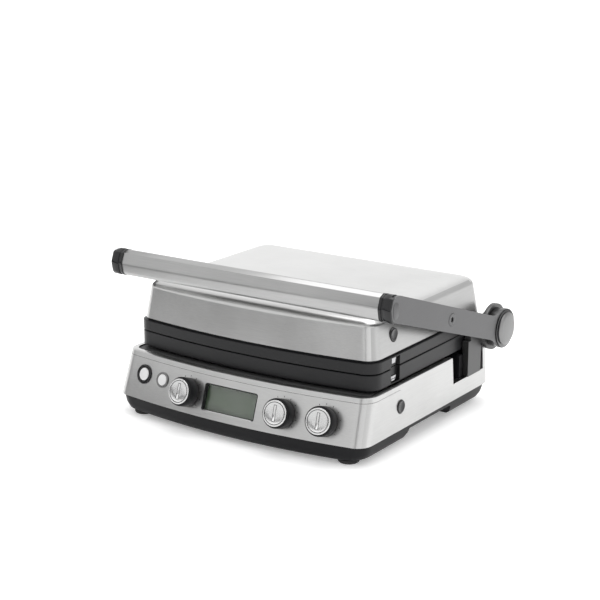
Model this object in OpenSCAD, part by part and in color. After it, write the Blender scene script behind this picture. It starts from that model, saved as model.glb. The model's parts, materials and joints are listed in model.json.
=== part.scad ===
// Contact grill with a floating lid, a long front handle and three dials.
// Millimetres, +Z up, front towards -Y. Origin: middle of the whole footprint, on the table.

/* [Housing] */
// width of the steel housing at its lower edge
housing_width = 370; // [300:1:450]
// depth of the housing from its front corners to its rear wall
housing_depth = 313.5; // [260:0.25:370]
// height of the steel housing above the tray
housing_height = 55; // [46:0.5:66]
// how far the middle of the front stands forward of its corners
front_bow = 17; // [0:0.5:20]
// how far the front leans back over its height
front_lean = 18.8; // [10:0.2:24]
// how far each side leans in over the height
side_lean = 3; // [0:0.2:8]
// plan radius of the housing corners
corner_r = 20; // [14:1:28]
// thickness of the steel sheet
sheet = 1.5; // [1:0.1:2.5]
// width of the turned-in rim along the top
rim_lip = 7; // [5:0.5:9]

/* [Tray and feet] */
// height of the plastic tray under the housing
tray_height = 20; // [16:0.5:26]
// wall of the tray
tray_wall = 2.5; // [2:0.1:3.5]
// height of the finger recess in each side of the tray
recess_height = 14; // [6:0.5:15]
// length of that recess
recess_length = 110; // [60:1:112]
// how far that recess reaches in under the grill
recess_depth = 40; // [20:1:50]
// diameter of a rubber foot
foot_d = 26; // [20:1:32]
// visible height of a foot
foot_height = 5; // [3:0.5:8]

/* [Grill plates] */
// how far the two black plate carriers stay inside the housing's sides
carrier_inset = 8.5; // [7.5:0.5:14]
// height of the lower carrier's skirt
lower_skirt = 19.5; // [16:0.5:24]
// height of the upper carrier's skirt
upper_skirt = 16; // [13:0.5:20]
// gap between the two plates with the lid down
plate_gap = 1; // [0.8:0.1:3]
// gap between the lower skirt and the rim of the housing
rim_gap = 2; // [1:0.2:5]
// pitch of the grill ridges
ridge_pitch = 14; // [10:0.5:20]
// height of the grill ridges
ridge_height = 3; // [2:0.2:4]

/* [Lid] */
// how far the lid's sides stay inside the carriers
lid_inset = 2.5; // [1:0.5:6]
// height of the lid cover
lid_height = 48; // [38:0.2:60]
// how far the lid's walls lean in up to the shoulder
lid_lean = 5.7; // [2:0.1:9]
// how far the rounded shoulder reaches in over the top
lid_shoulder = 15.5; // [10:0.5:20]

/* [Handle and hinge] */
// height of the hub axis above the rim of the housing
hub_rise = 20.2; // [16:0.2:30]
// distance of the hub axis in front of the rear wall
hub_back = 9; // [0:0.5:24]
// radius of the hub drum
hub_r = 25.6; // [20:0.2:28]
// radius of the fixed flange behind the drum
flange_r = 30; // [24:0.5:33]
// how far the outer faces of the arms stand out from the housing
arm_reach = 21; // [19.5:0.2:36]
// thickness of an arm
arm_thick = 4.4; // [3:0.2:6]
// height of an arm across its length
arm_height = 31.5; // [24:0.5:36]
// finger gap in height between the lid's top and the handle bar
bar_gap = 5.75; // [4:0.05:20]
// distance of the handle bar's axis from the front corners
bar_y = 31.6; // [16:0.2:46]
// height of the handle bar section
bar_height = 32.5; // [26:0.5:38]
// depth of the handle bar section
bar_depth = 24; // [18:0.5:30]
// length of a black collar, measured in from the outer face of the arm
collar_length = 17.5; // [15:0.5:24]
// distance of the lid's pivot screws in front of the hub axis
pivot_forward = 141.7; // [110:0.1:170]
// height the hinge can float up for thick food
hinge_float = 18; // [8:0.2:24]
// axle radius
axle_r = 8; // [6:0.2:10]

/* [Controls] */
// diameter of a dial
dial_d = 36; // [28:0.2:44]
// height of a dial above the panel
dial_height = 18.5; // [12:0.5:22]
// middle of the first dial across the panel
dial_1_place = -66; // [-90:1:-58]
// middle of the second dial
dial_2_place = 74; // [64:1:90]
// middle of the third dial
dial_3_place = 130; // [120:1:140]
// height of the dials up the panel
dial_z = 24; // [21:0.5:30]
// width of the display opening
display_width = 79; // [60:1:84]
// height of the display opening
display_h = 34; // [24:0.5:38]
// middle of the display across the panel
display_place = -2; // [-8:1:4]
// diameter of the power button's ring
power_d = 24.5; // [20:0.5:27]
// middle of the power button
power_place = -143; // [-148:1:-138]
// diameter of the start button's ring
start_d = 19.5; // [16:0.5:22]
// middle of the start button
start_place = -110.5; // [-114:0.5:-106]
// diameter of a plate release button
release_d = 17.5; // [14:0.5:20]
// distance of the release buttons from the front corners
release_y = 83.5; // [70:0.5:110]
// press travel of the release buttons
release_travel = 2.5; // [1.5:0.1:4]

/* [Clearances] */
// gap all round a button in its hole
button_gap = 0.35; // [0.25:0.05:0.6]
// radial running gap of axles and pivots
running = 0.08; // [0.03:0.01:0.1]
// gap between parts that slide or turn past one another
slide_gap = 0.5; // [0.4:0.05:1]

/* [View] */
// sub-part to draw

/* [Hidden] */
$fn = 64;
seam_z = foot_height + tray_height;
rim_z = seam_z + housing_height;
house_half = housing_width / 2;
// the controls keep their shares of the panel's width
spread = housing_width / 370;
dial_1_x = dial_1_place * spread;
dial_2_x = dial_2_place * spread;
dial_3_x = dial_3_place * spread;
display_w = display_width * spread;
display_x = display_place * spread;
power_x = power_place * spread;
start_x = start_place * spread;
carrier_half = house_half - carrier_inset;
lid_half = carrier_half - lid_inset;
arm_out = house_half + arm_reach;
hub_y = housing_depth - hub_back;
pivot_y = hub_y - pivot_forward;
carrier_z = rim_z + rim_gap;
part_z = carrier_z + lower_skirt;
upper_z = part_z + plate_gap;
lid_z = upper_z + upper_skirt;
top_z = lid_z + lid_height;
hub_z = rim_z + hub_rise;
bar_z = top_z + bar_gap + bar_height / 2;
drop = (bar_z - hub_z) / (hub_y - bar_y);
arm_angle = atan(drop);
arm_in = arm_out - arm_thick;
pivot_z = hub_z + (hub_y - pivot_y) * drop - 0.6;
lean_angle = atan(front_lean / housing_height);
foot_x = house_half - 31;
foot_front = 16;
foot_rear = housing_depth - 60;
dial_slope = atan(2 * front_bow * dial_1_x / pow(house_half, 2));
dial_foot = front_y(dial_1_x, house_half, front_lean * dial_z / housing_height, front_bow);
dial_reach = dial_height * cos(lean_angle) * cos(dial_slope);
dial_dip = (dial_d / 2 - 3) * sqrt(pow(sin(lean_angle) * cos(dial_slope), 2) + pow(sin(dial_slope), 2));
front_reach = dial_foot - dial_reach - dial_dip;
rear_reach = hub_y + flange_r;
y_mid = (front_reach + rear_reach) / 2;
lid_front = 38;
lid_rear = housing_depth - 8.5;
lid_bow = 15.3;
carrier_front = lid_front - 3;
carrier_rear = housing_depth - 8;
notch_front = hub_y - 92.5;
notch_rear = hub_y - 13.5;
notch_z = seam_z + 21;
block_front = hub_y - 60.5;
block_rear = hub_y - 25.5;
block_in = carrier_half + 1.5;
flange_out = arm_in - 10;
drum_in = flange_out + slide_gap;
cap_out = arm_out + 5;
deck_z = rim_z - sheet - 4.5;
tie_y = hub_y - 43.5;
boss_r = min(19, hub_z - rim_z - 1.2);
tie_z = notch_z + 6;

// one closed plan outline: bowed front, rounded corners
function front_y(x, a, yf, bow) = yf - bow * (1 - pow(x / a, 2));
function ring(a, yf, yb, r, bow, z, nb = 14, nc = 6) =
  let (c = a - r, y0 = front_y(c, a, yf, bow))
  concat(
    [for (i = [0 : nb]) let (x = -c + 2 * c * i / nb) [x, front_y(x, a, yf, bow), z]],
    [for (j = [1 : nc]) [c + r * sin(90 * j / nc), y0 + r - r * cos(90 * j / nc), z]],
    [for (j = [0 : nc]) [c + r * cos(90 * j / nc), yb - r + r * sin(90 * j / nc), z]],
    [for (j = [0 : nc]) [-c - r * sin(90 * j / nc), yb - r + r * cos(90 * j / nc), z]],
    [for (j = [0 : nc - 1]) [-c - r * cos(90 * j / nc), y0 + r - r * sin(90 * j / nc), z]]
  );

// solid through a stack of outlines
module loft(rings) {
  n = len(rings[0]);
  m = len(rings);
  pts = [for (k = rings) each k];
  sides = [for (k = [0 : m - 2], i = [0 : n - 1])
    let (j = (i + 1) % n, a = k * n + i, b = k * n + j, c = b + n, d = a + n)
    each [[d, c, b], [d, b, a]]];
  low = [[for (i = [0 : n - 1]) i]];
  high = [[for (i = [n - 1 : -1 : 0]) (m - 1) * n + i]];
  polyhedron(points = pts, faces = concat(low, high, sides), convexity = 6);
}

// outline of the housing at height h above the seam, moved in by t
function house_ring(h, t) = ring(
  house_half - t - side_lean * h / housing_height,
  t + front_lean * h / housing_height,
  housing_depth - t, max(corner_r - t, 2), front_bow, seam_z + h);

// outline of a carrier, moved in by t
function carrier_ring(z, t) = ring(carrier_half - t, carrier_front + t, carrier_rear - t,
  max(corner_r - t, 3), lid_bow, z);

// outline of the lid cover
function lid_ring(z, t) = ring(lid_half - t, lid_front + t, lid_rear - t,
  max(19 - t * 0.4, 3), lid_bow, z);

// outline of the tray
function tray_ring(z, side, front) = ring(house_half - side, front, housing_depth - side,
  corner_r + 4, front_bow, z);

module in_frame() {
  translate([0, -y_mid, 0]) children();
}

// children drawn on the panel at x, with z up the panel and out of it
module on_panel(x, h) {
  slope = 2 * front_bow * x / pow(house_half, 2);
  y = front_y(x, house_half, front_lean * h / housing_height, front_bow);
  translate([x, y, seam_z + h]) rotate([90 - lean_angle, 0, atan(slope)]) children();
}

// children along +X at y, z
module along_x(x, y, z) {
  translate([x, y, z]) rotate([0, 90, 0]) children();
}

module mirrored(side) {
  if (side > 0) children();
  else mirror([1, 0, 0]) children();
}

module rounded(w, h, r) {
  hull() {
    for (i = [-1, 1]) {
      for (j = [-1, 1]) {
        translate([i * (w / 2 - r), j * (h / 2 - r)]) circle(r = r, $fn = 32);
      }
    }
  }
}

// ---------------------------------------------------------------- base

module tray_boss_places() {
  for (x = [-foot_x + 6, foot_x - 6]) {
    for (y = [foot_front + 34, foot_rear - 25]) {
      translate([x, y, 0]) children();
    }
  }
}

module foot_places() {
  for (x = [-foot_x, foot_x]) {
    for (y = [foot_front, foot_rear]) {
      translate([x, y, 0]) children();
    }
  }
}

module tray_body() {
  loft([
    tray_ring(foot_height, 12, 7),
    tray_ring(foot_height + 3, 7.5, 3.2),
    tray_ring(foot_height + 9, 4, 1.8),
    tray_ring(seam_z, 1.2, 1)
  ]);
}

// side view of a finger recess, with sloping ends
module recess_outline() {
  rear = foot_rear - 40.75;
  half = min(recess_length, rear - foot_front - 48) / 2;
  mid = rear - half;
  polygon([[mid - half - 3, foot_height - 1], [mid - half + 5, foot_height + recess_height],
    [mid + half - 5, foot_height + recess_height], [mid + half + 3, foot_height - 1]]);
}

// children drawn in a side view, then drawn out from x0 over len
module side_view(x0, len) {
  translate([x0, 0, 0]) rotate([90, 0, 90]) linear_extrude(len) children();
}

module base_tray() {
  color([0.12, 0.12, 0.13]) in_frame() difference() {
    union() {
      difference() {
        tray_body();
        loft([
          tray_ring(foot_height + 3, 12.5, 8),
          tray_ring(foot_height + 9, 4 + tray_wall, 1.8 + tray_wall),
          tray_ring(seam_z + 1, 1.2 + tray_wall, 1 + tray_wall)
        ]);
      }
      tray_boss_places() translate([0, 0, foot_height + 1]) cylinder(r = 7, h = 12);
      foot_places() translate([0, 0, foot_height + 1]) cylinder(r = 9, h = 8);
      for (x = [-52, 52]) {
        for (y = [156, 216]) {
          translate([x, y, foot_height + 1]) cylinder(r = 4, h = 8);
        }
      }
      // walls and roof of the finger recesses
      intersection() {
        tray_body();
        for (s = [-1, 1]) mirrored(s)
          side_view(house_half - recess_depth - 2, 60) offset(delta = 2) recess_outline();
      }
    }
    for (s = [-1, 1]) mirrored(s) side_view(house_half - recess_depth, 60) recess_outline();
    tray_boss_places() {
      translate([0, 0, foot_height - 1]) cylinder(r = 4.5, h = 6);
      translate([0, 0, foot_height + 4]) cylinder(r = 2, h = 10);
    }
    foot_places() translate([0, 0, foot_height - 1]) cylinder(r = 5.2, h = 7);
    // cooling slots in the floor
    for (i = [0 : 8]) {
      translate([-60 + i * 15 - 2.5, 60, foot_height - 1]) cube([5, 50, 6]);
    }
  }
}

module feet() {
  color([0.06, 0.06, 0.06]) in_frame() foot_places() {
    cylinder(r1 = foot_d / 2 - 1.5, r2 = foot_d / 2, h = 1.5);
    translate([0, 0, 1.5]) cylinder(r = foot_d / 2, h = foot_height - 1.5);
    translate([0, 0, foot_height - 0.5]) cylinder(r = 5, h = 5.5);
  }
}

module tray_screws() {
  color([0.6, 0.6, 0.62]) in_frame() tray_boss_places() difference() {
    union() {
      translate([0, 0, foot_height + 2.2]) cylinder(r = 4, h = 2.8);
      translate([0, 0, foot_height + 4.5]) cylinder(r = 1.95, h = 8);
    }
    translate([0, 0, foot_height + 2]) cylinder(r = 1.6, h = 1.8);
  }
}

module base_housing() {
  color([0.74, 0.74, 0.73]) in_frame() difference() {
    union() {
      difference() {
        loft([house_ring(0, 0), house_ring(housing_height - 2, 0),
          house_ring(housing_height - 0.5, 0.5), house_ring(housing_height, 1.6)]);
        loft([house_ring(-1, sheet), house_ring(housing_height - sheet, sheet)]);
        loft([house_ring(housing_height - sheet - 1, rim_lip),
          house_ring(housing_height + 1, rim_lip)]);
        for (s = [-1, 1]) {
          translate([s * house_half - 20, notch_front, notch_z])
            cube([40, notch_rear - notch_front, 80]);
        }
      }
      // ledge turned in at the foot of each hinge notch
      for (s = [-1, 1]) mirrored(s)
        translate([house_half - 18, notch_front - 1, notch_z - sheet])
          cube([18 - side_lean * 0.45 - 0.4, notch_rear - notch_front + 2, sheet]);
    }
    for (x = [dial_1_x, dial_2_x, dial_3_x]) {
      on_panel(x, dial_z) translate([0, 0, -8]) cylinder(r = 4.5, h = 16);
    }
    on_panel(power_x, dial_z + 6.5) translate([0, 0, -8]) cylinder(d = power_d - 3, h = 16);
    on_panel(start_x, dial_z + 6) translate([0, 0, -8]) cylinder(d = start_d - 2, h = 16);
    on_panel(display_x, dial_z + 0.5) translate([0, 0, -8])
      linear_extrude(16) rounded(display_w, display_h, 3);
    along_x(house_half - 12, release_y, seam_z + 28.5) cylinder(d = release_d, h = 24);
    translate([-120, housing_depth - 6, seam_z + 20]) rotate([-90, 0, 0])
      cylinder(r = 7, h = 12);
  }
}

module deck() {
  color([0.09, 0.09, 0.1]) in_frame() difference() {
    loft([house_ring(housing_height - sheet - 4.5, sheet + 0.4),
      house_ring(housing_height - sheet - 0.05, sheet + 0.4)]);
    translate([-120, 70, deck_z - 1]) cube([240, 180, 8]);
    for (s = [-1, 1]) {
      translate([s * (house_half - 10) - 15, notch_front - 2, deck_z - 1])
        cube([30, notch_rear - notch_front + 4, 8]);
    }
    // opening for the release latch
    translate([carrier_half - 19, release_y - 11, deck_z - 1]) cube([16, 22, 8]);
  }
}

module cord_gland() {
  color([0.05, 0.05, 0.05]) in_frame() translate([-120, housing_depth - 8, seam_z + 20])
    rotate([-90, 0, 0]) difference() {
      union() {
        cylinder(r = 6.7, h = 10);
        translate([0, 0, 8.1]) cylinder(r = 9.5, h = 3.9);
        translate([0, 0, 2.4]) cylinder(r = 9.5, h = 4);
      }
      translate([0, 0, -1]) cylinder(r = 3.6, h = 20);
    }
}

module power_board() {
  top = foot_height + 9;
  color([0.16, 0.34, 0.2]) in_frame() difference() {
    translate([-62, 146, top]) cube([124, 80, 1.6]);
    translate([-62.5, 145.5, top - 1]) cube([5, 5, 4]);
  }
  color([0.2, 0.2, 0.22]) in_frame() {
    translate([-48, 160, top + 1.5]) cube([26, 22, 15]);
    translate([-10, 160, top + 1.5]) cube([16, 28, 19]);
    translate([22, 168, top + 1.5]) cylinder(r = 8, h = 22);
    translate([44, 168, top + 1.5]) cylinder(r = 6, h = 18);
    translate([-50, 200, top + 1.5]) cube([60, 10, 8]);
  }
}

// ------------------------------------------------------------ controls

module control_carrier() {
  inner = sheet + 0.2;
  color([0.1, 0.1, 0.11]) in_frame() difference() {
    intersection() {
      difference() {
        loft([house_ring(3, inner), house_ring(housing_height - 9, inner)]);
        loft([house_ring(2, inner + 3), house_ring(housing_height - 8, inner + 3)]);
      }
      translate([-house_half + 24, -60, 0]) cube([housing_width - 48, 100, 200]);
    }
    for (x = [dial_1_x, dial_2_x, dial_3_x]) {
      on_panel(x, dial_z) translate([0, 0, -8]) cylinder(r = 4.5, h = 16);
    }
    on_panel(power_x, dial_z + 6.5) translate([0, 0, -8]) cylinder(d = power_d - 2.6, h = 16);
    on_panel(start_x, dial_z + 6) translate([0, 0, -8]) cylinder(d = start_d - 2.6, h = 16);
    on_panel(display_x, dial_z + 0.5) translate([0, 0, -10])
      linear_extrude(20) rounded(display_w + 0.6, display_h + 0.6, 3);
  }
  color([0.1, 0.1, 0.11]) in_frame() {
    for (x = [-88 * spread, 96 * spread]) {
      on_panel(x, dial_z) translate([0, 0, -(board_gap(x))]) cylinder(r = 3, h = board_gap(x) - 3.2);
    }
  }
}

// distance from the panel to the board at x
function board_gap(x) = 26 - front_bow * pow(x / house_half, 2);

module control_board() {
  color([0.14, 0.36, 0.2]) in_frame() on_panel(0, dial_z) difference() {
    translate([-150 * spread, -17, -28]) cube([300 * spread, 34, 1.6]);
    translate([-150 * spread - 2, -18, -29]) cube([6, 6, 4]);
    translate([150 * spread - 4, -18, -29]) cube([6, 6, 4]);
  }
}

module encoders() {
  color([0.55, 0.56, 0.58]) in_frame() for (x = [dial_1_x, dial_2_x, dial_3_x]) {
    on_panel(x, dial_z) {
      difference() {
        union() {
          translate([-6.5, -6.5, -12]) cube([13, 13, 12 - sheet - 4.1]);
          translate([0, 0, -9]) cylinder(r = 3.4, h = 9);
        }
        translate([0, 0, -9.5]) cylinder(r = 2.6, h = 12);
      }
      for (k = [-4, 0, 4]) {
        translate([k - 0.5, -6, -board_gap(x) + 0.6]) cube([1, 1, board_gap(x) - 11.6]);
      }
    }
  }
}

module button_switches() {
  color([0.3, 0.3, 0.32]) in_frame() {
    on_panel(power_x, dial_z + 6.5) translate([-5, -5, -15.9]) cube([10, 10, 5]);
    on_panel(start_x, dial_z + 6) translate([-5, -5, -18.9]) cube([10, 10, 8]);
  }
}

module display_bezel() {
  color([0.05, 0.05, 0.05]) in_frame() on_panel(display_x, dial_z + 0.5) difference() {
    union() {
      translate([0, 0, -8]) linear_extrude(7) rounded(display_w - 0.3, display_h - 0.3, 2.9);
    }
    translate([0, 0, -9]) linear_extrude(10) rounded(display_w - 2.8, display_h - 2.8, 1.8);
  }
}

module display_window() {
  color([0.6, 0.64, 0.6, 0.6]) in_frame() on_panel(display_x, dial_z + 0.5)
    translate([0, 0, -7]) linear_extrude(1.4) rounded(display_w - 2.9, display_h - 2.9, 1.7);
}

module display_module() {
  color([0.38, 0.42, 0.37]) in_frame() on_panel(display_x, dial_z + 0.5)
    translate([-(display_w - 3) / 2, -(display_h - 3) / 2, -12])
      cube([display_w - 3, display_h - 3, 3.95]);
  color([0.38, 0.42, 0.37]) in_frame() on_panel(display_x, dial_z + 0.5)
    translate([0, 0, -8.1]) linear_extrude(1.05) rounded(display_w - 3, display_h - 3, 1.6);
}

module button_ring(d, bore) {
  difference() {
    union() {
      translate([0, 0, 0.35]) cylinder(d = d, h = 0.85);
      translate([0, 0, -3]) cylinder(d = d - 3.2, h = 3.6);
    }
    translate([0, 0, -4]) cylinder(d = bore, h = 8);
  }
}

module push_button(d, stem) {
  union() {
    translate([0, 0, -4.2]) cylinder(d = d, h = 5);
    translate([0, 0, 0.8]) cylinder(d1 = d, d2 = d - 1.6, h = 0.7);
    translate([0, 0, -stem]) cylinder(d = 5, h = stem - 4);
  }
}

module power_ring() {
  color([0.05, 0.05, 0.05]) in_frame() on_panel(power_x, dial_z + 6.5)
    button_ring(power_d, power_d - 8.5 + 2 * button_gap);
}

module power_button() {
  color([0.86, 0.86, 0.86]) in_frame() on_panel(power_x, dial_z + 6.5)
    push_button(power_d - 8.5, 9.2);
}

module start_ring() {
  color([0.08, 0.08, 0.08]) in_frame() on_panel(start_x, dial_z + 6)
    button_ring(start_d, start_d - 5 + 2 * button_gap);
}

module start_button() {
  color([0.86, 0.86, 0.86]) in_frame() on_panel(start_x, dial_z + 6)
    push_button(start_d - 5, 9.2);
}

// dial body with a hollow back, a stem that runs in the encoder, and grip flutes
module dial_body() {
  difference() {
    union() {
      translate([0, 0, 0.8]) cylinder(d = dial_d, h = dial_height - 4);
      translate([0, 0, dial_height - 3.3]) cylinder(d1 = dial_d, d2 = dial_d - 3, h = 1.8);
    }
    translate([0, 0, 0]) cylinder(d = dial_d - 5, h = dial_height - 7);
    translate([0, 0, dial_height - 2.7]) cylinder(d = dial_d - 4.4, h = 4);
    for (i = [0 : 23]) {
      rotate([0, 0, i * 15]) translate([dial_d / 2 + 0.9, 0, 3]) cylinder(r = 1.4, h = 9, $fn = 24);
    }
  }
  translate([0, 0, 0.4]) cylinder(r = 6, h = dial_height - 6);
  translate([0, 0, -7]) cylinder(r = 2.6 - running, h = 9);
}

module dial_face() {
  difference() {
    union() {
      translate([0, 0, dial_height - 2.7]) cylinder(d = dial_d - 4.5, h = 1.9);
      translate([0, 0, dial_height - 0.8]) cylinder(d1 = dial_d - 4.5, d2 = dial_d - 6, h = 0.8);
    }
    translate([0, 0, dial_height - 0.5]) cylinder(d = dial_d - 8.5, h = 2);
    translate([-0.7, 2, dial_height - 1.1]) cube([1.4, dial_d / 2 - 6.5, 2]);
  }
}

module dial_1() {
  color([0.07, 0.07, 0.07]) in_frame() on_panel(dial_1_x, dial_z) dial_body();
}

module dial_1_face() {
  color([0.86, 0.86, 0.86]) in_frame() on_panel(dial_1_x, dial_z) dial_face();
}

module dial_2() {
  color([0.07, 0.07, 0.07]) in_frame() on_panel(dial_2_x, dial_z) dial_body();
}

module dial_2_face() {
  color([0.86, 0.86, 0.86]) in_frame() on_panel(dial_2_x, dial_z) dial_face();
}

module dial_3() {
  color([0.07, 0.07, 0.07]) in_frame() on_panel(dial_3_x, dial_z) dial_body();
}

module dial_3_face() {
  color([0.86, 0.86, 0.86]) in_frame() on_panel(dial_3_x, dial_z) dial_face();
}

// -------------------------------------------------------- lower plate

module lower_carrier() {
  color([0.09, 0.09, 0.1]) in_frame() difference() {
    union() {
      loft([carrier_ring(carrier_z, 1.2), carrier_ring(carrier_z + 1.2, 0),
        carrier_ring(part_z - 0.8, 0), carrier_ring(part_z, 0.8)]);
      loft([carrier_ring(rim_z - sheet, 14), carrier_ring(carrier_z + 2, 14)]);
    }
    loft([carrier_ring(carrier_z + 2.5, 5), carrier_ring(part_z + 1, 5)]);
    // heat opening in the floor
    translate([-110, 80, rim_z - 6]) cube([220, 160, 20]);
    // catch recess in the right side
    translate([carrier_half - 4, release_y - 12, carrier_z + 2]) cube([6, 20, lower_skirt]);
    translate([carrier_half - 19, release_y - 9, rim_z - 6]) cube([11, 18, 24]);
  }
}

module ridges(z, h, up) {
  count = floor((2 * carrier_half - 60) / ridge_pitch);
  for (i = [0 : count]) {
    x = -count * ridge_pitch / 2 + i * ridge_pitch;
    translate([x, carrier_front + 22, z]) rotate([-90, 0, 0])
      linear_extrude(carrier_rear - carrier_front - 48)
        polygon([[-3, 0], [-1.4, -up * h], [1.4, -up * h], [3, 0]]);
  }
}

module lower_plate() {
  floor_z = part_z - 5.5;
  color([0.13, 0.13, 0.13]) in_frame() difference() {
    union() {
      difference() {
        loft([carrier_ring(part_z - 11, 8), carrier_ring(part_z - 8, 5.4),
          carrier_ring(part_z - 0.3, 5.4)]);
        loft([carrier_ring(floor_z, 14), carrier_ring(part_z + 1, 11)]);
      }
      ridges(floor_z - 0.5, ridge_height + 0.5, 1);
    }
    // grease channel and spout along the front
    translate([-30, carrier_front - 2, floor_z - 2]) cube([60, 20, 2.5]);
    // catch pocket under the right rim
    translate([carrier_half - 17.5, release_y - 8, part_z - 12]) cube([9, 16, 6]);
  }
}

module element_loop(z) {
  span = carrier_half - 60;
  // the straight runs end where the bends still clear the plate's edge
  bend = span / 3;
  y0 = carrier_front + bend + 27.17;
  y1 = carrier_rear - bend - 27.17;
  for (s = [-1, 1]) {
    translate([s * span, y0 - 0.6, z]) rotate([-90, 0, 0]) cylinder(r = 2.4, h = y1 - y0);
    translate([s * span / 3, y0 - 0.6, z]) rotate([-90, 0, 0]) cylinder(r = 2.4, h = y1 - y0 + 1.2);
    translate([s * span * 2 / 3, y0, z]) rotate([0, 0, 180]) rotate_extrude(angle = 180, $fn = 48)
      translate([span / 3, 0]) circle(r = 2.2, $fn = 24);
  }
  translate([0, y1, z]) rotate_extrude(angle = 180, $fn = 48)
    translate([span / 3, 0]) circle(r = 2.2, $fn = 24);
}

module lower_element() {
  color([0.3, 0.29, 0.28]) in_frame() element_loop(part_z - 11 - 2.45);
}

module lower_reflector() {
  z = carrier_z + 2.55;
  color([0.7, 0.7, 0.7]) in_frame() difference() {
    loft([carrier_ring(z, 22), carrier_ring(z + 2, 20)]);
    loft([carrier_ring(z + 0.8, 22.8), carrier_ring(z + 3, 20.4)]);
    translate([carrier_half - 24, release_y - 11, z - 1]) cube([20, 22, 6]);
  }
}

module lower_catch() {
  color([0.75, 0.75, 0.75]) in_frame() {
    translate([carrier_half - 3.98, release_y - 9, carrier_z + 4]) cube([1.5, 12, 5]);
    translate([carrier_half - 2.6, release_y - 9, carrier_z + 4]) cube([1.6, 7, 2]);
  }
}

module base_release_button() {
  y = release_y;
  z = seam_z + 28.5;
  face = house_half - side_lean * 28.5 / housing_height;
  color([0.06, 0.06, 0.06]) in_frame() {
    along_x(face - 9, y, z) cylinder(d = release_d - 2 * button_gap, h = 9.6);
    along_x(face + 0.6, y, z) cylinder(d1 = release_d - 2 * button_gap, d2 = release_d - 4, h = 0.9);
    along_x(carrier_half - 12, y, z) cylinder(r = 3.5, h = face - carrier_half + 4);
  }
}

module base_release_latch() {
  x = carrier_half - 15;
  z = seam_z + 22;
  color([0.66, 0.66, 0.66]) in_frame() difference() {
    union() {
      translate([x, release_y - 6, z]) cube([2.4, 12, part_z - 8 - z]);
      translate([x, release_y - 6, part_z - 10]) cube([5, 12, 1.8]);
      translate([x + 1, release_y - 6, z]) cube([4, 12, 14]);
    }
    along_x(x + 3, release_y, seam_z + 28.5) cylinder(r = 3.6, h = 4);
  }
}

// -------------------------------------------------------------- hinge

module hinge_guide() {
  color([0.08, 0.08, 0.09]) difference() {
    union() {
      translate([block_in - 12, block_front - 9, notch_z + 0.02])
        cube([3, block_rear - block_front + 18, deck_z - notch_z + 2]);
      for (y = [block_front - 9, block_rear + slide_gap]) {
        translate([block_in - 10, y, notch_z + 0.02])
          cube([11, 9 - slide_gap, deck_z - notch_z + 2]);
      }
    }
    translate([block_in - 14, tie_y - 4.2, notch_z + 1]) cube([8, 8.4, hinge_float + 12]);
  }
}

// slotted steel plate beside the rear rail
module hinge_plate() {
  difference() {
    translate([block_in + 1.02, block_rear + 1.5, notch_z + 0.02])
      cube([1.4, 11, deck_z - notch_z + 2]);
    for (z = [notch_z + 15, notch_z + 21]) {
      along_x(block_in - 4, block_rear + 7, z) cylinder(r = 3.2, h = 10);
    }
    translate([block_in - 4, block_rear + 3.8, notch_z + 15]) cube([10, 6.4, 6]);
  }
}

module hinge_plates() {
  color([0.62, 0.62, 0.62]) in_frame() for (s = [-1, 1]) mirrored(s) hinge_plate();
}

module hinge_guide_left() {
  in_frame() mirrored(-1) hinge_guide();
}

module hinge_guide_right() {
  in_frame() mirrored(1) hinge_guide();
}

module hinge_block() {
  color([0.08, 0.08, 0.09]) difference() {
    union() {
      // foot that slides between the rails and stays below the carrier
      translate([block_in - 8.5, block_front + slide_gap, notch_z + 1])
        cube([17, block_rear - block_front - 2 * slide_gap, carrier_z - 2 - hinge_float - notch_z]);
      // plate up to the hub
      translate([block_in, block_front + slide_gap, notch_z + 1])
        cube([8.5, block_rear - block_front - 2 * slide_gap, hub_z - notch_z - 8]);
      along_x(block_in, hub_y, hub_z) cylinder(r = boss_r, h = 8.5);
      translate([block_in, block_front + 6, hub_z - boss_r + 1])
        cube([8.5, hub_y - block_front - 6, boss_r + 1]);
      along_x(block_in + 8, hub_y, hub_z) cylinder(r = flange_r, h = flange_out - block_in - 8);
      along_x(flange_out - 1, hub_y, hub_z) cylinder(r = axle_r, h = arm_out - flange_out + 1);
    }
    along_x(block_in - 10, tie_y, tie_z) cylinder(r = 3.05, h = 14);
  }
}

module hinge_block_left() {
  in_frame() mirrored(-1) hinge_block();
}

module hinge_block_right() {
  in_frame() mirrored(1) hinge_block();
}

module hinge_tie_bar() {
  color([0.6, 0.6, 0.6]) in_frame()
    along_x(-block_in - 2, tie_y, tie_z) cylinder(r = 3.05, h = 2 * block_in + 4);
}

// ------------------------------------------------------ arms and handle

module arm_outline() {
  low = arm_height / 2;
  far = [hub_y - 34, hub_z + 34 * drop - 2.6];
  offset(r = -40) offset(r = 40) union() {
    hull() {
      translate([bar_y, bar_z]) offset(delta = -1) bar_shape();
      translate([bar_y + 5, bar_z - 0.8]) circle(r = low, $fn = 48);
      translate(far) circle(r = low - 0.4, $fn = 48);
    }
    hull() {
      translate(far) circle(r = low - 0.4, $fn = 48);
      translate([hub_y, hub_z - 1.5]) circle(r = low - 1, $fn = 48);
    }
    translate([hub_y, hub_z]) circle(r = hub_r, $fn = 96);
  }
}

// oval seat of a screw plug, and the plug that fills it
module plug_oval(r) {
  hull() {
    for (v = [-3.75, 3.75]) {
      translate([bar_y - 0.7, bar_z - 1.5 + v]) circle(r = r, $fn = 40);
    }
  }
}

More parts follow.
